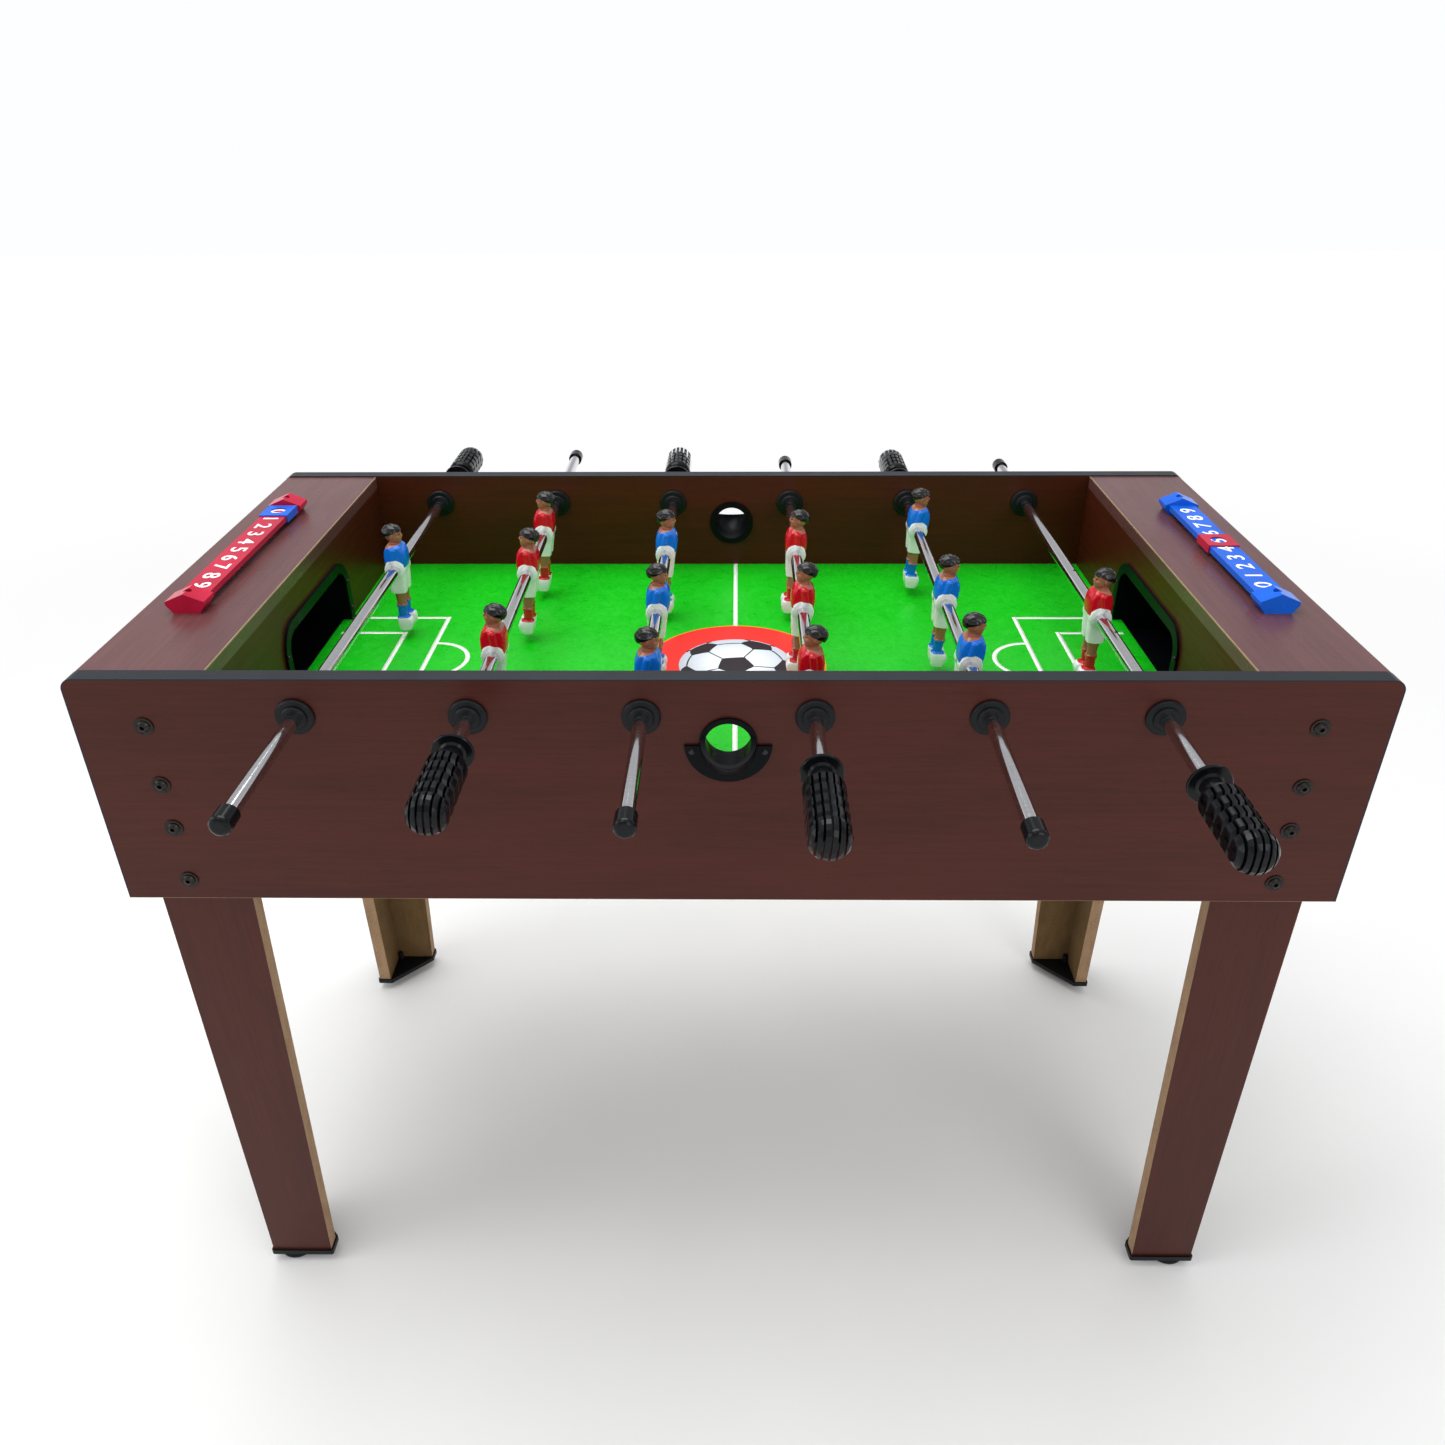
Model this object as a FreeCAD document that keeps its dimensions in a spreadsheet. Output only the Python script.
# Foosball table, 4 ft class: cabinet, pitch, six player rods, scorers and legs.
# Frame: X runs along the table between the goals, Y across it (the front side is -Y),
# Z up. The origin is on the floor, under the middle of the table. Sizes are in mm.
import FreeCAD
import Part
import math
import os
import Sketcher

Vector = FreeCAD.Vector
Rotation = FreeCAD.Rotation
Placement = FreeCAD.Placement

SIZES = (
    # overall
    ("table_length", 1215), ("table_width", 610), ("table_height", 855),
    # cabinet boards
    ("side_board", 18), ("side_height", 250), ("corner_radius", 12), ("trim_gauge", 1.5),
    ("end_board", 15), ("end_inset", 6.5), ("ledge_board", 15), ("ledge_drop", 1.5),
    ("wall_board", 9), ("end_zone", 125.5), ("pitch_board", 9), ("pitch_depth", 127),
    ("cleat_section", 20),
    # goals
    ("goal_width", 200), ("goal_height", 70), ("goal_radius", 22), ("goal_rim", 12),
    ("goal_rim_gauge", 3), ("goal_shell", 2.5), ("pocket_depth", 62), ("pocket_drop", 14),
    # rods and what is on them
    ("goal_to_rod", 84), ("rod_drop", 38), ("rod_diameter", 14), ("rod_wall", 1.5),
    ("rod_overhang", 376), ("rod_hole", 4),
    ("bushing_flange", 36), ("bushing_gauge", 4), ("bushing_nose", 3), ("bushing_nose_dia", 24),
    ("bushing_sleeve", 20), ("running_gap", 0.08), ("fit_gap", 0.1),
    ("cap_diameter", 19), ("cap_length", 22), ("cap_cover", 4),
    ("grip_diameter", 37), ("grip_length", 87), ("neck_diameter", 20), ("neck_length", 18),
    ("collar_diameter", 38), ("collar_length", 3.5), ("grip_slot_pitch", 5.8),
    ("grip_slot_width", 2), ("grip_core", 24), ("grip_cover", 8),
    # players
    ("player_head_top", 52), ("player_reach", 78), ("player_width", 33), ("boss_diameter", 24),
    ("player_screw", 3.5), ("player_screw_head", 6.5), ("small_screw", 3),
    # ball entries
    ("ball_hole", 44), ("ball_hole_drop", 66), ("entry_shell", 2.5), ("entry_rim", 54),
    ("entry_span", 82), ("entry_plate", 3), ("entry_scoop", 35), ("entry_ring_width", 5),
    ("entry_ear", 7), ("entry_ear_rise", 2), ("entry_screw_drop", 8),
    # scorers
    ("scorer_length", 317), ("scorer_width", 31), ("scorer_bar_height", 6), ("scorer_lift", 6.5),
    ("scorer_block", 25), ("scorer_block_width", 40), ("scorer_block_height", 21),
    ("scorer_inset", 56), ("slider_length", 36), ("slider_wall", 1.2), ("slider_gap", 0.3),
    ("slider_window", 18), ("digit_pitch", 25.3), ("scorer_screw", 4),
    ("scorer_screw_depth", 12),
    # legs and feet
    ("leg_board", 18), ("leg_top_width", 94), ("leg_foot_width", 74), ("leg_gap", 0.5),
    ("leg_top_drop", 30), ("leg_lift", 20), ("leg_cap", 7), ("leg_cap_lip", 2.5),
    ("foot_diameter", 46), ("foot_gauge", 7), ("foot_inset", 23), ("foot_stem", 8),
    ("foot_stem_length", 26),
    # bolts
    ("bolt_inset", 66.5), ("bolt_diameter", 6), ("bolt_head", 12), ("bolt_head_height", 3.2),
    ("washer_diameter", 18), ("washer_gauge", 1.2), ("end_bolt_row", 240),
)
BOLT_DROPS = (49, 113.5, 163.5, 226.5)

doc = FreeCAD.newDocument("FoosballTable")
sheet = doc.addObject("Spreadsheet::Sheet", "Sizes")
for row, (alias, value) in enumerate(SIZES, start=1):
    sheet.set("A%d" % row, alias)
    sheet.set("B%d" % row, str(value))
    sheet.setAlias("B%d" % row, alias)
for row, value in enumerate(BOLT_DROPS, start=1):
    sheet.set("C%d" % row, str(value))
    sheet.setAlias("C%d" % row, "bolt_drop_%d" % row)
doc.recompute()


def size(alias):
    """The value of one cell of the sheet, in mm."""
    return float(sheet.get(alias))


NODES = []


def as_node(obj, label):
    """Name a finished sub-part and put it on the list of those that are written."""
    obj.Label = label
    NODES.append(obj)
    return obj


def bind(obj, **sizes):
    """Bind properties to expressions; a dot in a property's name is written as two underscores."""
    for prop, formula in sizes.items():
        obj.setExpression(prop.replace("__", "."), formula)
    return obj


def at(obj, px="0", py="0", pz="0"):
    """Bind the place of an object to expressions."""
    return bind(obj, Placement__Base__x=px, Placement__Base__y=py, Placement__Base__z=pz)


# Levels and planes that several pieces share, as expressions over the sheet.
TOP = "Sizes.table_height"
CABINET_BOTTOM = "(Sizes.table_height - Sizes.side_height)"
PITCH_TOP = "(Sizes.table_height - Sizes.pitch_depth)"
ROD_LEVEL = "(Sizes.table_height - Sizes.rod_drop)"
LEDGE_TOP = "(Sizes.table_height - Sizes.ledge_drop)"
LEDGE_UNDER = "(Sizes.table_height - Sizes.ledge_drop - Sizes.ledge_board)"
INSIDE_Y = "(Sizes.table_width / 2 - Sizes.side_board)"
END_OUTER = "(Sizes.table_length / 2 - Sizes.end_inset)"
WALL_FACE = "(Sizes.table_length / 2 - Sizes.end_zone)"
ROD_PITCH = "((%s - Sizes.goal_to_rod) / 2.5)" % WALL_FACE
SCORER_X = "(Sizes.table_length / 2 - Sizes.scorer_inset)"
SCORER_HOLE_Y = "(Sizes.scorer_length / 2 - Sizes.scorer_block / 2)"
BOLT_COLUMN = "(Sizes.table_length / 2 - Sizes.bolt_inset)"
BUSHING_HOLE = "(Sizes.bushing_sleeve + 2 * Sizes.fit_gap)"

# The same levels as numbers, for the pieces that are built from shapes.
top = size("table_height")
cabinet_bottom = top - size("side_height")
pitch_top = top - size("pitch_depth")
rod_level = top - size("rod_drop")
ledge_top = top - size("ledge_drop")
ledge_under = ledge_top - size("ledge_board")
outer_y = size("table_width") / 2
inside_y = outer_y - size("side_board")
end_outer = size("table_length") / 2 - size("end_inset")
end_inner = end_outer - size("end_board")
wall_face = size("table_length") / 2 - size("end_zone")
rod_pitch = (wall_face - size("goal_to_rod")) / 2.5
rod_radius = size("rod_diameter") / 2
leg_outer = end_inner - size("leg_gap")
leg_bottom = size("leg_lift")
small_radius = size("small_screw") / 2


# --- small shape helpers -------------------------------------------------------------------

def cylinder(radius, length, base, axis):
    return Part.makeCylinder(radius, length, base, axis)


def block(x0, x1, y0, y1, z0, z1):
    return Part.makeBox(x1 - x0, y1 - y0, z1 - z0, Vector(x0, y0, z0))


def prism(points, vector):
    """Extrude a closed outline along a vector."""
    wire = Part.makePolygon(list(points) + [points[0]])
    return Part.Face(wire).extrude(vector)


def turned(profile, base, axis):
    """Revolve a closed half profile of (radius, height) points about an axis."""
    points = [Vector(r, 0, z) for r, z in profile]
    solid = Part.Face(Part.makePolygon(points + [points[0]])).revolve(Vector(), Vector(0, 0, 1), 360)
    solid.Placement = Placement(base, Rotation(Vector(0, 0, 1), axis))
    return solid


def small_screw(base, out, depth):
    """A small pan-head screw; base is under its head."""
    head_r = 2 * small_radius
    profile = ((0, 0.6 * head_r), (0.5 * head_r, 0.55 * head_r), (0.9 * head_r, 0.3 * head_r),
               (head_r, 0), (small_radius, 0), (small_radius, -depth), (0, -depth))
    return turned(profile, base, out)


def mirrored(shape, normal):
    return shape.mirror(Vector(), normal)


def feature(label, shape, placement=None):
    """A sub-part whose shape is set directly; its sizes were read from the sheet."""
    obj = doc.addObject("Part::Feature", label)
    obj.Shape = shape
    obj.Placement = (placement or Placement()).multiply(shape.Placement)
    return as_node(obj, label)


def group(label, shapes):
    """Several like solids, such as screws, kept in one node."""
    return feature(label, Part.makeCompound(shapes))


def origin_plane(body, role):
    return next(f for f in body.Origin.OriginFeatures if f.Role == role)


def sketch_on(body, name, role):
    sketch = body.newObject("Sketcher::SketchObject", name)
    sketch.AttachmentSupport = [(origin_plane(body, role), "")]
    sketch.MapMode = "FlatFace"
    return sketch


def sketch_rectangle(sketch, half_width, low, high):
    """A rectangle centred across the sketch's own upright axis; its sizes are expressions."""
    corners = [Vector(-10, -5, 0), Vector(10, -5, 0), Vector(10, 5, 0), Vector(-10, 5, 0)]
    for i in range(4):
        sketch.addGeometry(Part.LineSegment(corners[i], corners[(i + 1) % 4]), False)
    for i in range(4):
        sketch.addConstraint(Sketcher.Constraint("Coincident", i, 2, (i + 1) % 4, 1))
    for line in (0, 2):
        sketch.addConstraint(Sketcher.Constraint("Horizontal", line))
    for line in (1, 3):
        sketch.addConstraint(Sketcher.Constraint("Vertical", line))
    sides = (
        ("DistanceX", 0, 1, -10, "-" + half_width), ("DistanceX", 0, 2, 10, half_width),
        ("DistanceY", 0, 1, -5, low), ("DistanceY", 2, 1, 5, high),
    )
    for kind, line, end, start, formula in sides:
        index = sketch.addConstraint(Sketcher.Constraint(kind, -1, 1, line, end, start))
        sketch.setExpression("Constraints[%d]" % index, formula)


def sketch_circle(sketch, across, up, diameter):
    """A circle; its place and diameter are expressions over the sheet."""
    circle = sketch.addGeometry(Part.Circle(Vector(1, 1, 0), Vector(0, 0, 1), 5), False)
    for kind, value, formula in (("DistanceX", 1, across), ("DistanceY", 1, up)):
        index = sketch.addConstraint(Sketcher.Constraint(kind, -1, 1, circle, 3, value))
        sketch.setExpression("Constraints[%d]" % index, formula)
    index = sketch.addConstraint(Sketcher.Constraint("Diameter", circle, 10))
    sketch.setExpression("Constraints[%d]" % index, diameter)


def drill(body, name, circles, blind=False, reverse=False):
    """Cut round holes in a board that is drawn on its own XZ plane, right through it or,
    when they are blind, from the middle of its thickness out to one face."""
    sketch = sketch_on(body, name + "_sketch", "XZ_Plane")
    for across, up, diameter in circles:
        sketch_circle(sketch, across, up, diameter)
    pocket = body.newObject("PartDesign::Pocket", name)
    pocket.Profile = sketch
    if blind:
        pocket.Type = "Length"
        pocket.Reversed = reverse
        bind(pocket, Length="Sizes.side_board / 2")
    else:
        pocket.Type = "ThroughAll"
        pocket.Midplane = True
    before = body.Shape.Volume if body.Shape else 0
    body.Tip = pocket
    doc.recompute()
    if body.Shape.Volume >= before:
        raise RuntimeError(name + " cut nothing")
    return pocket


# --- cabinet -------------------------------------------------------------------------------

def side_panel(label, sign):
    """A long side panel, with the holes for rods, ball and bolts and two rounded top corners."""
    body = doc.addObject("PartDesign::Body", label)
    outline = sketch_on(body, label + "_outline", "XZ_Plane")
    sketch_rectangle(outline, "(Sizes.table_length / 2 - Sizes.trim_gauge)",
                     CABINET_BOTTOM, "(Sizes.table_height - Sizes.trim_gauge)")
    pad = body.newObject("PartDesign::Pad", label + "_board")
    pad.Profile = outline
    pad.Midplane = True
    bind(pad, Length="Sizes.side_board")
    doc.recompute()
    corners = [
        "Edge%d" % (i + 1) for i, edge in enumerate(pad.Shape.Edges)
        if abs(edge.tangentAt(edge.FirstParameter).y) > 0.9 and edge.CenterOfMass.z > top - 10
    ]
    rounding = body.newObject("PartDesign::Fillet", label + "_corners")
    rounding.Base = (pad, corners)
    bind(rounding, Radius="Sizes.corner_radius - Sizes.trim_gauge")
    doc.recompute()
    first_rod = ("-2.5 * " + ROD_PITCH, ROD_LEVEL, BUSHING_HOLE)
    rod_hole = drill(body, label + "_rod_hole", [first_rod])
    row = body.newObject("PartDesign::LinearPattern", label + "_rod_holes")
    row.Originals = [rod_hole]
    row.Direction = (rod_hole.Profile[0], ["H_Axis"])
    row.Occurrences = 6
    bind(row, Length="5 * " + ROD_PITCH)
    body.Tip = row
    doc.recompute()
    circles = [("0", "(Sizes.table_height - Sizes.ball_hole_drop)",
                "(Sizes.ball_hole + 2 * Sizes.entry_shell + 2 * Sizes.fit_gap)")]
    for i in range(len(BOLT_DROPS)):
        for column in ("-" + BOLT_COLUMN, BOLT_COLUMN):
            circles.append((column, "(Sizes.table_height - Sizes.bolt_drop_%d)" % (i + 1),
                            "(Sizes.bolt_diameter + 2 * Sizes.fit_gap)"))
    drill(body, label + "_other_holes", circles)
    ear = "(Sizes.entry_span / 2 - Sizes.entry_ear)"
    ear_level = "(Sizes.table_height - Sizes.ball_hole_drop - Sizes.entry_screw_drop)"
    pilots = [(across + ear, ear_level, "Sizes.small_screw") for across in ("-", "")]
    drill(body, label + "_pilot_holes", pilots, True, sign == "-1")
    at(body, py="%s * (Sizes.table_width - Sizes.side_board) / 2" % sign)
    return as_node(body, label)


side_panel("side_panel_front", "-1")
side_panel("side_panel_back", "1")


def edge_trim(sign):
    """The black edge band over the top and both ends of a side panel."""
    half = size("table_length") / 2
    gauge = size("trim_gauge")
    radius = size("corner_radius")
    y0 = sign * (outer_y + inside_y) / 2 - size("side_board") / 2

    def outline(inset, low):
        solid = block(-half + inset, half - inset, y0, y0 + size("side_board"), low, top - inset)
        corners = [e for e in solid.Edges if abs(e.tangentAt(e.FirstParameter).y) > 0.9
                   and e.CenterOfMass.z > top - radius]
        return solid.makeFillet(radius - inset, corners)

    return outline(0, cabinet_bottom).cut(outline(gauge, cabinet_bottom - radius))


group("side_trims", [edge_trim(-1), edge_trim(1)])

for side, sign in (("left", -1), ("right", 1)):
    panel = doc.addObject("Part::Box", "end_panel_" + side + "_board")
    bind(panel, Length="Sizes.end_board", Width="2 * " + INSIDE_Y,
         Height="%s - %s" % (LEDGE_UNDER, CABINET_BOTTOM))
    face = "-" + END_OUTER if sign < 0 else END_OUTER + " - Sizes.end_board"
    at(panel, face, "-" + INSIDE_Y, CABINET_BOTTOM)
    holes = []
    for bolt_y in (-1, 1):
        for bolt_row in (0, 1):
            hole = doc.addObject("Part::Cylinder", "end_bolt_hole")
            bind(hole, Radius="Sizes.bolt_diameter / 2 + Sizes.fit_gap",
                 Height="Sizes.end_board + 20")
            hole.Placement.Rotation = Rotation(Vector(0, 1, 0), 90)
            rise = "Sizes.table_height - Sizes.end_bolt_row + %d * 80" % bolt_row
            at(hole, face + " - 10", "%d * (%s - Sizes.leg_top_width * 0.55)" % (bolt_y, INSIDE_Y),
               rise)
            holes.append(hole)
    drilled = doc.addObject("Part::MultiFuse", "end_bolt_holes_" + side)
    drilled.Shapes = holes
    cut = doc.addObject("Part::Cut", "end_panel_" + side)
    cut.Base = panel
    cut.Tool = drilled
    as_node(cut, "end_panel_" + side)

    ledge = doc.addObject("Part::Box", "end_ledge_" + side + "_board")
    bind(ledge, Length=END_OUTER + " - " + WALL_FACE, Width="2 * " + INSIDE_Y,
         Height="Sizes.ledge_board")
    at(ledge, "-" + END_OUTER if sign < 0 else WALL_FACE, "-" + INSIDE_Y, LEDGE_UNDER)
    pilots = []
    for end in ("-", ""):
        pilot = doc.addObject("Part::Cylinder", "scorer_pilot")
        bind(pilot, Radius="Sizes.scorer_screw / 2", Height="Sizes.ledge_board")
        at(pilot, "%d * %s" % (sign, SCORER_X), end + SCORER_HOLE_Y,
           LEDGE_UNDER + " + Sizes.ledge_board - Sizes.scorer_screw_depth")
        pilots.append(pilot)
    pair = doc.addObject("Part::MultiFuse", "scorer_pilots_" + side)
    pair.Shapes = pilots
    cut = doc.addObject("Part::Cut", "end_ledge_" + side)
    cut.Base = ledge
    cut.Tool = pair
    as_node(cut, "end_ledge_" + side)


def goal_arch(half_width, height, radius, x0, x1, low):
    """A block with two rounded upper corners: the outline that every part of a goal shares."""
    solid = block(x0, x1, -half_width, half_width, low, pitch_top + height)
    corners = [e for e in solid.Edges if abs(e.tangentAt(e.FirstParameter).x) > 0.9
               and e.CenterOfMass.z > pitch_top + height - 1]
    return solid.makeFillet(radius, corners)


half_goal = size("goal_width") / 2
goal_height = size("goal_height")
goal_radius = size("goal_radius")
shell = size("goal_shell")
wall_back = wall_face + size("wall_board")


def goal_wall():
    """The upright board behind a goal line, standing on the pitch, with the goal mouth cut in."""
    board = block(wall_face, wall_back, -inside_y, inside_y, pitch_top, ledge_under)
    grow = shell + size("fit_gap")
    mouth = goal_arch(half_goal + grow, goal_height + grow, goal_radius + grow,
                      wall_face - 1, wall_back + 1, pitch_top - 1)
    return board.cut([mouth] + rim_holes(small_radius))


def goal():
    """A moulded goal: rim on the pitch side, tunnel through the wall, ball pocket behind it."""
    rim = size("goal_rim")
    gauge = size("goal_rim_gauge")
    gap = size("fit_gap")
    back = wall_back + size("pocket_depth")
    floor = pitch_top - size("pocket_drop")
    flange = goal_arch(half_goal + rim, goal_height + rim, goal_radius + rim,
                       wall_face - gauge, wall_face - gap, pitch_top + gap)
    tunnel = goal_arch(half_goal + shell, goal_height + shell, goal_radius + shell,
                       wall_face - gauge, wall_back + gap, pitch_top + gap)
    pocket = goal_arch(half_goal + shell, goal_height + shell, goal_radius + shell,
                       wall_back + gap, back, floor)
    hollow = goal_arch(half_goal, goal_height, goal_radius,
                       wall_face - gauge - 1, back - shell, pitch_top - 1)
    well = block(wall_back + gap + shell, back - shell, -half_goal, half_goal,
                 floor + shell, pitch_top)
    solid = flange.fuse([tunnel, pocket]).cut([hollow, well])
    return solid.cut(rim_holes(small_radius + size("fit_gap"))).removeSplitter()


rim_screws = [
    Vector(wall_face - size("goal_rim_gauge"),
           sign * (half_goal + size("goal_rim") / 2 + shell / 2), pitch_top + share * goal_height)
    for sign in (-1, 1) for share in (0.2, 0.7)
]
rim_screw_depth = size("goal_rim_gauge") + size("wall_board") - 2


def rim_holes(radius):
    """Cutters for the screws in the rim of a goal."""
    start = Vector(-5, 0, 0)
    return [cylinder(radius, rim_screw_depth + 5, p + start, Vector(1, 0, 0)) for p in rim_screws]


mouth_screws = []
for side, sign in (("left", -1), ("right", 1)):
    for label, shape in (("goal_wall_", goal_wall()), ("goal_", goal())):
        feature(label + side, mirrored(shape, Vector(1, 0, 0)) if sign < 0 else shape)
    for place in rim_screws:
        screw = small_screw(place, Vector(-1, 0, 0), rim_screw_depth)
        mouth_screws.append(mirrored(screw, Vector(1, 0, 0)) if sign < 0 else screw)

pitch = doc.addObject("Part::Box", "playing_field")
bind(pitch, Length="2 * %s + 2 * Sizes.wall_board" % WALL_FACE, Width="2 * " + INSIDE_Y,
     Height="Sizes.pitch_board")
at(pitch, "-%s - Sizes.wall_board" % WALL_FACE, "-" + INSIDE_Y, PITCH_TOP + " - Sizes.pitch_board")
as_node(pitch, "playing_field")

cleats = []
for sign in (-1, 1):
    cleat = doc.addObject("Part::Box", "long_cleat")
    bind(cleat, Length="2 * " + WALL_FACE, Width="Sizes.cleat_section",
         Height="Sizes.cleat_section")
    near = "-" + INSIDE_Y if sign < 0 else INSIDE_Y + " - Sizes.cleat_section"
    at(cleat, "-" + WALL_FACE, near, PITCH_TOP + " - Sizes.pitch_board - Sizes.cleat_section")
    cleats.append(cleat)
cleat_pair = doc.addObject("Part::Compound", "pitch_cleats")
cleat_pair.Links = cleats
as_node(cleat_pair, "pitch_cleats")


# --- bushings and ball entries --------------------------------------------------------------

ROD_COUNT = 6
rod_columns = [(i - (ROD_COUNT - 1) / 2) * rod_pitch for i in range(ROD_COUNT)]
bore = rod_radius + size("running_gap")
flange_r = size("bushing_flange") / 2
flange_t = size("bushing_gauge")
nose_r = size("bushing_nose_dia") / 2
sleeve_r = size("bushing_sleeve") / 2
bushing_stand = flange_t + size("bushing_nose")


def bushing(x, sign):
    """The outer half of a bushing: flange and nose outside, sleeve through the panel."""
    reach = size("side_board")
    profile = ((bore, bushing_stand), (nose_r - 1.5, bushing_stand), (nose_r, flange_t + 1.5),
               (nose_r, flange_t), (flange_r - 1.5, flange_t), (flange_r, flange_t - 1.5),
               (flange_r, 0), (sleeve_r, 0), (sleeve_r, -reach), (bore, -reach))
    return turned(profile, Vector(x, sign * outer_y, rod_level), Vector(0, sign, 0))


def bushing_nut(x, sign):
    """The inner half: a flange of the same shape, set on the inside of the panel."""
    profile = ((bore, 0), (flange_r, 0), (flange_r, flange_t - 1.5), (flange_r - 1.5, flange_t),
               (nose_r, flange_t), (nose_r, flange_t + 1.5), (nose_r - 1.5, bushing_stand),
               (bore, bushing_stand))
    return turned(profile, Vector(x, sign * inside_y, rod_level), Vector(0, -sign, 0))


group("rod_bushings", [make(x, s) for make in (bushing, bushing_nut)
                       for s in (-1, 1) for x in rod_columns])

hole_r = size("ball_hole") / 2
hole_level = top - size("ball_hole_drop")
entry_wall = size("entry_shell")
plate = size("entry_plate")
scoop_r = size("entry_rim") / 2
ear_x = size("entry_span") / 2 - size("entry_ear")
ear_level = hole_level - size("entry_screw_drop")


def half_egg(radius, length, base, out):
    """Half an ellipsoid of revolution that stands on a face."""
    curve = Part.ArcOfEllipse(Part.Ellipse(Vector(), length, radius), 0, math.pi / 2).toShape()
    curve.rotate(Vector(), Vector(0, 1, 0), -90)
    curve.rotate(Vector(), Vector(0, 0, 1), -90)
    ends = [curve.valueAt(curve.FirstParameter), curve.valueAt(curve.LastParameter)]
    lines = [Part.makeLine(ends[1], Vector()), Part.makeLine(Vector(), ends[0])]
    face = Part.Face(Part.Wire([curve] + lines))
    solid = face.revolve(Vector(), Vector(0, 0, 1), 360)
    solid.Placement = Placement(base, Rotation(Vector(0, 0, 1), out))
    return solid


def ball_entry(y_face):
    """A ball scoop on the outer face of the panel, whose open top leads into the ball hole."""
    centre = Vector(0, y_face, hole_level)
    out = Vector(0, -1, 0)
    ring = cylinder(scoop_r, plate, centre, out)
    half_moon = cylinder(size("entry_span") / 2, plate, centre, out)
    half_moon = half_moon.common(block(-100, 100, y_face - 50, y_face + 1,
                                       hole_level - 100, hole_level - size("entry_ear_rise")))
    sleeve = cylinder(hole_r + entry_wall, size("side_board") + plate,
                      centre + Vector(0, size("side_board"), 0), out)
    bowl = half_egg(scoop_r, size("entry_scoop"), centre, out)
    keep = prism([Vector(-60, y_face, hole_level + 8),
                  Vector(-60, y_face - size("entry_scoop") - 1, hole_level - 8),
                  Vector(-60, y_face - size("entry_scoop") - 1, hole_level - 60),
                  Vector(-60, y_face, hole_level - 60)], Vector(120, 0, 0))
    bowl = bowl.common(keep)
    inner = half_egg(hole_r, size("entry_scoop") - entry_wall, centre, out)
    way = cylinder(hole_r, size("side_board") + 60, centre + Vector(0, size("side_board") + 1, 0), out)
    way = way.common(block(-60, 60, y_face - plate - 0.01, y_face + 60, hole_level - 60,
                           hole_level + 60))
    body = ring.fuse([half_moon, sleeve, bowl]).cut([inner, way])
    for sign in (-1, 1):
        ear = Vector(sign * ear_x, y_face + 1, ear_level)
        body = body.cut(cylinder(small_radius + size("fit_gap"), plate + 2, ear, out))
    return body.removeSplitter()


def ball_ring(y_face, sign):
    """The ring round the ball hole on the inside of the panel."""
    start = Vector(0, y_face, hole_level)
    outer = cylinder(hole_r + entry_wall + size("entry_ring_width"), plate, start, Vector(0, sign, 0))
    return outer.cut(cylinder(hole_r, plate, start, Vector(0, sign, 0)))


def entry_screw(sign_x, sign_y):
    base = Vector(sign_x * ear_x, sign_y * (outer_y + plate), ear_level)
    return small_screw(base, Vector(0, sign_y, 0), plate + size("side_board") / 2 - 1)


front_entry = ball_entry(-outer_y)
group("ball_entries", [front_entry, mirrored(front_entry, Vector(0, 1, 0)),
                       ball_ring(-inside_y, 1), ball_ring(inside_y, -1)])
entry_screws = [entry_screw(sx, sy) for sx in (-1, 1) for sy in (-1, 1)]


# --- rods, handles, end caps and players ------------------------------------------------------

# One row for each rod, from the left goal to the right: the side of the table its handle is on,
# how far the rod is pushed along from its middle, the lean of its players, the way they face,
# the places of the players and of the spare cross holes (as shares of half the inside width),
# and the turn of the spare holes about the rod.
RODS = (
    (1, 9, 0, 1, (0.202,), (), 60),
    (-1, 17, 4, -1, (0.617, 0.160, -0.592), (0.293, -0.279), 60),
    (1, 7, 3, 1, (0.376, -0.226, -0.787), (0.157, -0.425), 60),
    (-1, -15, 4, -1, (0.376, -0.213, -0.770), (0.794, 0.214, -0.354), 60),
    (1, -6, 4, 1, (0.655, -0.136, -0.669), (0.122, -0.453), 60),
    (-1, -31, 1, -1, (-0.272,), (0.676, 0.098, -0.484), 15),
)
for row, (_, rest, lean, _, _, _, _) in enumerate(RODS, start=1):
    for column, name, value in (("D", "rest", rest), ("E", "lean", lean)):
        sheet.set("%s%d" % (column, row), str(value))
        sheet.setAlias("%s%d" % (column, row), "rod_%d_%s" % (row, name))
doc.recompute()

reach = size("table_width") + size("rod_overhang")
handle_length = size("collar_length") + size("neck_length") + size("grip_length")
screw_radius = size("player_screw") / 2


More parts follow.
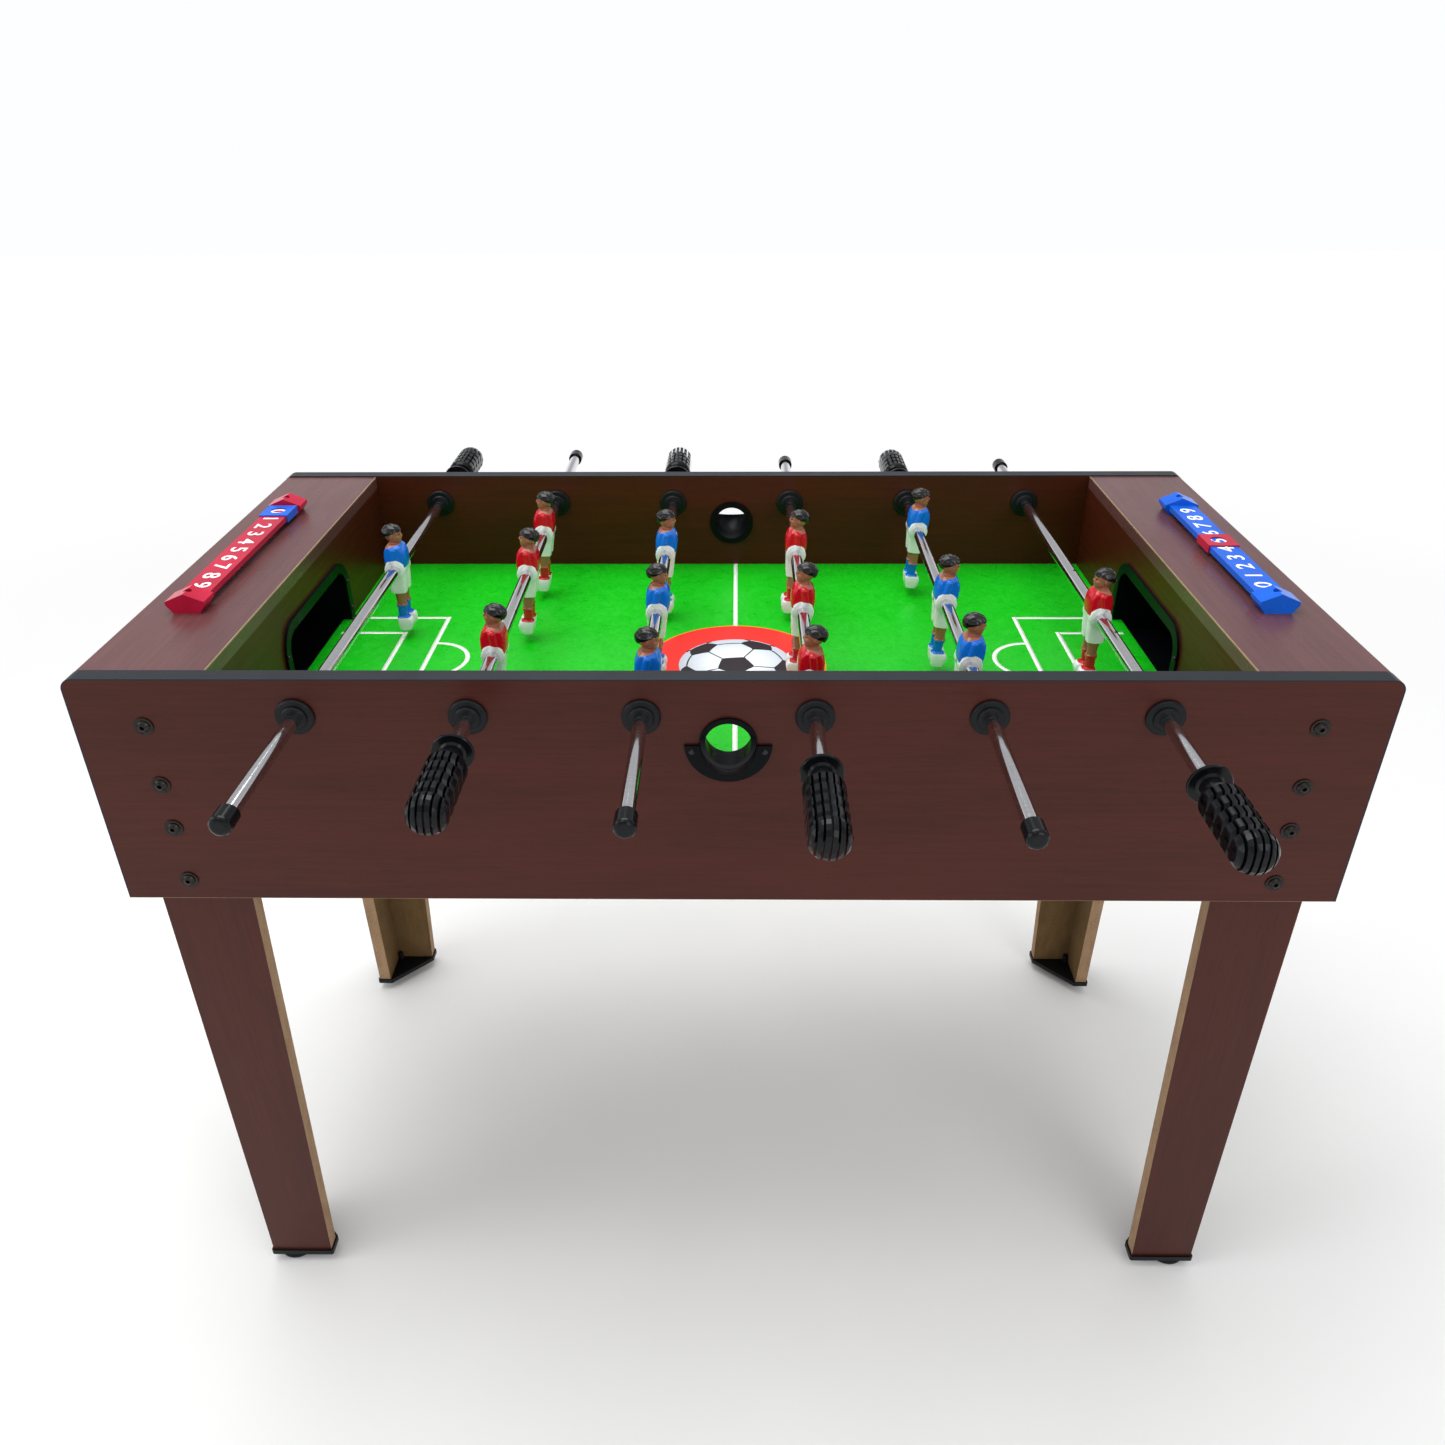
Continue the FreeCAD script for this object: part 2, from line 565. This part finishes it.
def handle():
    """A moulded handle along +Z from its collar: neck, then a grip of thin fins on a core."""
    collar_r = size("collar_diameter") / 2
    collar = size("collar_length")
    neck_r = size("neck_diameter") / 2
    grip_r = size("grip_diameter") / 2
    core_r = size("grip_core") / 2
    start = collar + size("neck_length")
    end = handle_length
    shoulder = 7
    dome = 13
    wide = [(grip_r - shoulder + shoulder * math.sin(a), start + shoulder - shoulder * math.cos(a))
            for a in (0, math.pi / 6, math.pi / 3, math.pi / 2)]
    tip = [(grip_r - dome + dome * math.cos(a), end - dome + dome * math.sin(a))
           for a in (0, math.pi / 8, math.pi / 4, 3 * math.pi / 8, math.pi / 2)]
    groove_step = (size("grip_length") - shoulder - dome - 4) / 4
    sides = []
    for i in range(4):
        level = start + shoulder + 4 + groove_step * (i + 0.5)
        sides += [(grip_r, level - 3), (grip_r - 3.5, level), (grip_r, level + 3)]
    outline = [(0, start)] + wide + sides + tip + [(0, end)]
    grip = turned(outline, Vector(), Vector(0, 0, 1))
    step = size("grip_slot_pitch")
    slot = size("grip_slot_width") / 2
    count = int(grip_r / step) + 1
    slots = [block(i * step - slot, i * step + slot, -grip_r, grip_r, start + shoulder, end + 1)
             for i in range(-count, count + 1)]
    cores = turned([(0, start), (core_r, start), (core_r, end - dome), (core_r - 5, end - 3),
                    (0, end - 3)], Vector(), Vector(0, 0, 1))
    stem = turned([(0, 0), (collar_r - 1, 0), (collar_r, 1), (collar_r, collar - 1),
                   (collar_r - 1, collar), (neck_r + 2, collar), (neck_r, collar + 2),
                   (neck_r, start + 2), (0, start + 2)], Vector(), Vector(0, 0, 1))
    hole = cylinder(rod_radius, end - size("grip_cover") + 1, Vector(0, 0, -1), Vector(0, 0, 1))
    solid = grip.cut(Part.makeCompound(slots)).fuse([cores, stem]).cut(hole)
    return solid.removeSplitter()


def end_cap():
    """A round-ended cap along +Z, open at z = 0."""
    cap_r = size("cap_diameter") / 2
    length = size("cap_length")
    hole_r = rod_radius + size("running_gap")
    depth = length - size("cap_cover")
    rounding = 4.5
    tip = [(cap_r - rounding + rounding * math.cos(a), length - rounding + rounding * math.sin(a))
           for a in (0, math.pi / 8, math.pi / 4, 3 * math.pi / 8, math.pi / 2)]
    profile = [(hole_r, 0), (cap_r - 0.8, 0), (cap_r, 0.8)] + tip + [
        (0, length), (0, depth), (hole_r, depth)]
    return turned(profile, Vector(), Vector(0, 0, 1))


def loft(sections):
    """A straight-sided loft through level rectangles of (z, x0, x1, half width)."""
    wires = []
    for z, x0, x1, y in sections:
        corners = [Vector(x0, -y, z), Vector(x1, -y, z), Vector(x1, y, z), Vector(x0, y, z)]
        wires.append(Part.makePolygon(corners + [corners[0]]))
    return Part.makeLoft(wires, True, True)


def player():
    """A player facing +X, hanging from a rod along Y through the origin."""
    half = size("player_width") / 2
    boss_r = size("boss_diameter") / 2
    head_top = size("player_head_top")
    foot = -size("player_reach")
    head_r = 11
    shirt = loft(((2, -11, 11, half - 2.5), (16, -12, 13, half), (28, -9, 10, half - 1),
                  (32, -5, 6, 7)))
    neck = cylinder(6, 10, Vector(0, 0, 28), Vector(0, 0, 1))
    head = Part.makeSphere(head_r, Vector(1, 0, head_top - head_r))
    boss = cylinder(boss_r, 2 * half - 4, Vector(0, -half + 2, 0), Vector(0, 1, 0))
    shorts = loft(((0, -11, 11, half - 2.5), (-30, -8.5, 9.5, half - 3)))
    legs = loft(((-29, -7, 7.5, half - 4), (foot + 8, -5.5, 6.5, half - 5)))
    shoes = loft(((foot + 11, -6, 7, half - 3), (foot + 4, -6.5, 12, half - 1.5),
                  (foot, -6, 11, half - 2)))
    solid = boss.fuse([shirt, neck, head, shorts, legs, shoes])
    along = Vector(0, 1, 0)
    solid = solid.cut(cylinder(rod_radius, 4 * half, Vector(0, -2 * half, 0), along))
    hole = cylinder(screw_radius + size("fit_gap"), 4 * boss_r, Vector(-2 * boss_r, 0, 0),
                    Vector(1, 0, 0))
    head_seat = cylinder(size("player_screw_head") / 2 + size("fit_gap"), 20,
                         Vector(-boss_r + 1.5, 0, 0), Vector(-1, 0, 0))
    return solid.cut([hole, head_seat]).removeSplitter()


def player_screw():
    """The pan-head screw that pins a player to the rod, put in from behind."""
    boss_r = size("boss_diameter") / 2
    head_r = size("player_screw_head") / 2
    shank = turned([(0, 0), (head_r, 0), (head_r - 0.4, 1.2), (head_r - 1.6, 2), (0, 2.2)],
                   Vector(-boss_r + 1.5, 0, 0), Vector(-1, 0, 0))
    return shank.fuse(cylinder(screw_radius, 2 * boss_r - 5, Vector(-boss_r + 1.5, 0, 0),
                               Vector(1, 0, 0))).removeSplitter()


grip_shape = handle()
cap_shape = end_cap()
player_shape = player()
screw_shape = player_screw()


def placed(shape, place):
    copy = shape.copy()
    copy.Placement = place.multiply(copy.Placement)
    return copy


rod_travel = {}
for index, (side, _, _, facing, players, holes, hole_turn) in enumerate(RODS):
    number = index + 1
    rest = size("rod_%d_rest" % number)
    axis = Vector(0, side, 0)
    lean = Placement(Vector(rod_columns[index], 0, rod_level),
                     Rotation(Vector(0, 1, 0), size("rod_%d_lean" % number)))
    handle_end = rest * side + reach / 2
    cap_end = reach / 2 - rest * side
    handle_start = handle_end - handle_length
    tube_length = reach - size("cap_cover") - size("grip_cover") - 1
    tube_start = Vector(0, -side * (cap_end - size("cap_cover") - 0.5), 0)
    tube = cylinder(rod_radius, tube_length, tube_start, axis)
    tube = tube.cut(cylinder(rod_radius - size("rod_wall"), tube_length, tube_start, axis))
    places = [Vector(0, share * inside_y, 0) for share in players]
    for place in places:
        tube = tube.cut(cylinder(screw_radius + size("fit_gap"), 4 * rod_radius,
                                 place - Vector(2 * rod_radius, 0, 0), Vector(1, 0, 0)))
    turn = math.radians(hole_turn)
    for share in holes:
        across = Vector(math.sin(turn), 0, math.cos(turn))
        start = Vector(0, share * inside_y, 0) - across * 2 * rod_radius
        tube = tube.cut(cylinder(size("rod_hole") / 2, 4 * rod_radius, start, across))
    feature("rod_%d" % number, tube, lean)
    feature("handle_%d" % number, placed(grip_shape, Placement(
        Vector(0, side * handle_start, 0), Rotation(Vector(0, 0, 1), axis))), lean)
    feature("end_cap_%d" % number, placed(cap_shape, Placement(
        Vector(rod_columns[index], -side * (cap_end - size("cap_length")), rod_level),
        Rotation(Vector(0, 0, 1), axis * -1))))
    about = Rotation(Vector(0, 0, 1), 0 if facing > 0 else 180)
    for label, shape in (("players_", player_shape), ("player_screws_", screw_shape)):
        shapes = [placed(shape, Placement(place, about)) for place in places]
        feature(label + str(number), Part.makeCompound(shapes), lean)
    stand = outer_y + bushing_stand
    player_stop = inside_y - bushing_stand - size("player_width") / 2
    toward_cap = min(handle_start - stand, player_stop + min(side * p.y for p in places))
    toward_handle = min(cap_end - size("cap_length") - stand,
                        player_stop - max(side * p.y for p in places))
    low, high = (-toward_cap, toward_handle) if side > 0 else (-toward_handle, toward_cap)
    rod_travel[number] = (low, high)
    print("rod %d travel along Y: %.1f to %.1f mm" % (number, low, high))


# --- scorers ----------------------------------------------------------------------------------

scorer_x = size("table_length") / 2 - size("scorer_inset")
scorer_half = size("scorer_length") / 2
block_half = size("scorer_block_width") / 2
bar_half = size("scorer_width") / 2
bar_low = ledge_top + size("scorer_lift")
bar_high = bar_low + size("scorer_bar_height")
scorer_hole_y = scorer_half - size("scorer_block") / 2
SCREW_SEAT = 9


def scorer_bar():
    """A flat numbered bar held between two gabled end blocks."""
    height = size("scorer_block_height")
    outline = ((block_half * 0.68, 0), (block_half, height * 0.42), (block_half, height * 0.6),
               (0, height), (-block_half, height * 0.6), (-block_half, height * 0.42),
               (-block_half * 0.68, 0))
    length = size("scorer_block")
    ends = [prism([Vector(x, y, ledge_top + z) for x, z in outline], Vector(0, length, 0))
            for y in (-scorer_half, scorer_half - length)]
    bar = block(-bar_half, bar_half, -scorer_half + length / 2, scorer_half - length / 2,
                bar_low, bar_high)
    solid = bar.fuse(ends)
    up = Vector(0, 0, 1)
    for y in (-scorer_hole_y, scorer_hole_y):
        shank_r = size("scorer_screw") / 2 + size("fit_gap")
        solid = solid.cut(cylinder(shank_r, 60, Vector(0, y, ledge_top - 1), up))
        solid = solid.cut(cylinder(4.2, 60, Vector(0, y, ledge_top + SCREW_SEAT), up))
    return solid.removeSplitter()


def scorer_slider():
    """The sleeve that slides on the bar, with a round window over the number it marks."""
    gap = size("slider_gap")
    wall = size("slider_wall")
    half = size("slider_length") / 2
    inner = bar_half + gap
    solid = block(-inner - wall, inner + wall, -half, half, bar_low - gap - wall,
                  bar_high + gap + wall)
    solid = solid.cut(block(-inner, inner, -half - 1, half + 1, bar_low - gap, bar_high + gap))
    window = cylinder(size("slider_window") / 2, 20, Vector(0, 0, bar_high), Vector(0, 0, 1))
    return solid.cut(window)


def scorer_screw(y):
    """A wood screw through an end block into the ledge."""
    head = turned([(0, 0), (4, 0), (3.6, 1.4), (2, 2.4), (0, 2.6)],
                  Vector(0, y, ledge_top + SCREW_SEAT), Vector(0, 0, 1))
    depth = size("scorer_screw_depth") - 1
    shank = cylinder(size("scorer_screw") / 2, SCREW_SEAT + depth, Vector(0, y, ledge_top - depth),
                     Vector(0, 0, 1))
    return head.fuse(shank).removeSplitter()


scorer_screws = []
for side, sign, digit in (("left", -1, 0), ("right", 1, 5)):
    spot = Vector(sign * scorer_x, 0, 0)
    feature("scorer_bar_" + side, scorer_bar(), Placement(spot, Rotation()))
    # The left bar counts from the back to the front, the right bar the other way.
    slide = sign * (digit - 4.5) * size("digit_pitch")
    feature("scorer_slider_" + side, scorer_slider(),
            Placement(spot + Vector(0, slide, 0), Rotation()))
    for y in (-scorer_hole_y, scorer_hole_y):
        scorer_screws.append(placed(scorer_screw(y), Placement(spot, Rotation())))


# --- legs, caps, feet and bolts ----------------------------------------------------------------

leg_top = top - size("leg_top_drop")
leg_board = size("leg_board")
bolt_radius = size("bolt_diameter") / 2
bolt_x = size("table_length") / 2 - size("bolt_inset")
end_bolt_y = inside_y - size("leg_top_width") * 0.55
end_bolt_levels = [top - size("end_bolt_row") + i * 80 for i in (0, 1)]


def leg_outline(along, span_top, span_foot):
    """Corner points of a leg board: straight inside the cabinet, tapering below it."""
    return [along(0, leg_bottom), along(span_foot, leg_bottom), along(span_top, cabinet_bottom),
            along(span_top, leg_top), along(0, leg_top)]


def leg():
    """The leg at the right-hand back corner: a board behind the side panel and one across it."""
    wide = size("leg_top_width")
    narrow = size("leg_foot_width")
    face = prism(leg_outline(lambda d, z: Vector(leg_outer - d, inside_y, z), wide, narrow),
                 Vector(0, -leg_board, 0))
    side = prism(leg_outline(lambda d, z: Vector(leg_outer, inside_y - leg_board - d, z),
                             wide - leg_board, narrow - leg_board), Vector(-leg_board, 0, 0))
    for drop in BOLT_DROPS:
        face = face.cut(cylinder(bolt_radius + size("fit_gap"), 200,
                                 Vector(bolt_x, inside_y - 100, top - drop), Vector(0, 1, 0)))
    for level in end_bolt_levels:
        side = side.cut(cylinder(bolt_radius + size("fit_gap"), 200,
                                 Vector(leg_outer - 100, end_bolt_y, level), Vector(1, 0, 0)))
    return Part.makeCompound([face, side])


foot_x = leg_outer - size("foot_inset")
foot_y = inside_y - size("foot_inset")


def leg_cap():
    """The black corner plate under a leg, threaded for the levelling foot."""
    lip = size("leg_cap_lip")
    narrow = size("leg_foot_width")
    x1 = leg_outer + lip
    y1 = inside_y + lip
    x0 = leg_outer - narrow - lip
    y0 = inside_y - narrow - lip
    edge = leg_board + lip + 2
    z0 = leg_bottom - size("leg_cap")
    outline = [Vector(x1, y1, z0), Vector(x0, y1, z0), Vector(x0, y1 - edge, z0),
               Vector(x1 - edge, y0, z0), Vector(x1, y0, z0)]
    plate = prism(outline, Vector(0, 0, size("leg_cap")))
    uprights = [e for e in plate.Edges if abs(e.tangentAt(e.FirstParameter).z) > 0.9]
    plate = plate.makeFillet(3, uprights)
    hole = cylinder(size("foot_stem") / 2 + size("running_gap"), 100,
                    Vector(foot_x, foot_y, z0 - 50), Vector(0, 0, 1))
    return plate.cut(hole)


def levelling_foot():
    """A round foot on a threaded stem, screwed right in."""
    foot_r = size("foot_diameter") / 2
    gauge = size("foot_gauge")
    stem_r = size("foot_stem") / 2
    top_z = gauge + size("foot_stem_length")
    return turned([(0, 0), (foot_r - 3, 0), (foot_r, 2.5), (foot_r, gauge - 1.5),
                   (foot_r - 1.5, gauge), (stem_r, gauge), (stem_r, top_z - 1),
                   (stem_r - 1, top_z), (0, top_z)], Vector(foot_x, foot_y, 0), Vector(0, 0, 1))


def bolt_set(base, out, depth):
    """A bolt with its washer outside and its nut inside; base is on the outer face."""
    head_r = size("bolt_head") / 2
    washer = size("washer_gauge")
    head = size("bolt_head_height")
    nut = 5
    bolt = turned([(0, washer), (head_r, washer), (head_r, washer + 0.8),
                   (head_r * 0.72, washer + head - 0.6), (head_r * 0.5, washer + head),
                   (0, washer + head)], base, out)
    bolt = bolt.fuse(cylinder(bolt_radius, depth + nut + washer + 3, base + out * washer, out * -1))
    socket = Part.makePolygon([base + out * (washer + head) + v for v in hexagon(out, 2.3)])
    bolt = bolt.cut(Part.Face(socket).extrude(out * -2.2)).removeSplitter()
    ring = cylinder(size("washer_diameter") / 2, washer, base, out)
    ring = ring.cut(cylinder(bolt_radius + size("fit_gap"), washer, base, out))
    inner = base - out * depth
    sides = Part.Face(Part.makePolygon([inner + v for v in hexagon(out, 5.7)])).extrude(out * -nut)
    sides = sides.cut(cylinder(bolt_radius, nut, inner, out * -1))
    return [bolt, ring, sides]


def hexagon(normal, radius):
    """Seven points of a closed hexagon round the origin, in the plane across a direction."""
    first = Vector(0, 0, 1)
    second = normal.cross(first)
    turns = [math.radians(60 * i) for i in range(7)]
    return [first * (radius * math.cos(a)) + second * (radius * math.sin(a)) for a in turns]


leg_shape = leg()
cap_plate = leg_cap()
foot_shape = levelling_foot()
corner_bolts = []
for drop in BOLT_DROPS:
    corner_bolts += bolt_set(Vector(bolt_x, outer_y, top - drop), Vector(0, 1, 0),
                             size("side_board") + leg_board)
for level in end_bolt_levels:
    corner_bolts += bolt_set(Vector(end_outer, end_bolt_y, level), Vector(1, 0, 0),
                             size("end_board") + size("leg_gap") + leg_board)


def at_corner(shape, sign_x, sign_y):
    if sign_x < 0:
        shape = mirrored(shape, Vector(1, 0, 0))
    if sign_y < 0:
        shape = mirrored(shape, Vector(0, 1, 0))
    return shape


caps = []
bolts = []
for name, sign_x, sign_y in (("front_left", -1, -1), ("front_right", 1, -1),
                             ("back_left", -1, 1), ("back_right", 1, 1)):
    feature("leg_" + name, at_corner(leg_shape, sign_x, sign_y))
    feature("foot_" + name, at_corner(foot_shape, sign_x, sign_y))
    caps.append(at_corner(cap_plate, sign_x, sign_y))
    bolts += [at_corner(shape, sign_x, sign_y) for shape in corner_bolts]
group("leg_caps", caps)
group("cabinet_bolts", bolts)
group("small_screws", mouth_screws + entry_screws + scorer_screws)


# --- check and write ----------------------------------------------------------------------------

doc.recompute()
failed = [o.Name for o in doc.Objects if set(o.State) & {"Invalid", "Error"}]
if failed:
    raise RuntimeError("not built: " + ", ".join(failed))
os.makedirs("parts", exist_ok=True)
for node in NODES:
    if node.Shape.isNull() or not node.Shape.isValid():
        raise RuntimeError(node.Label + " has no valid shape")
    if not node.Shape.Solids:
        raise RuntimeError(node.Label + " has no solid")
for node in NODES:
    node.Shape.exportStep("parts/%s.step" % node.Label)
print(len(NODES), "nodes written")
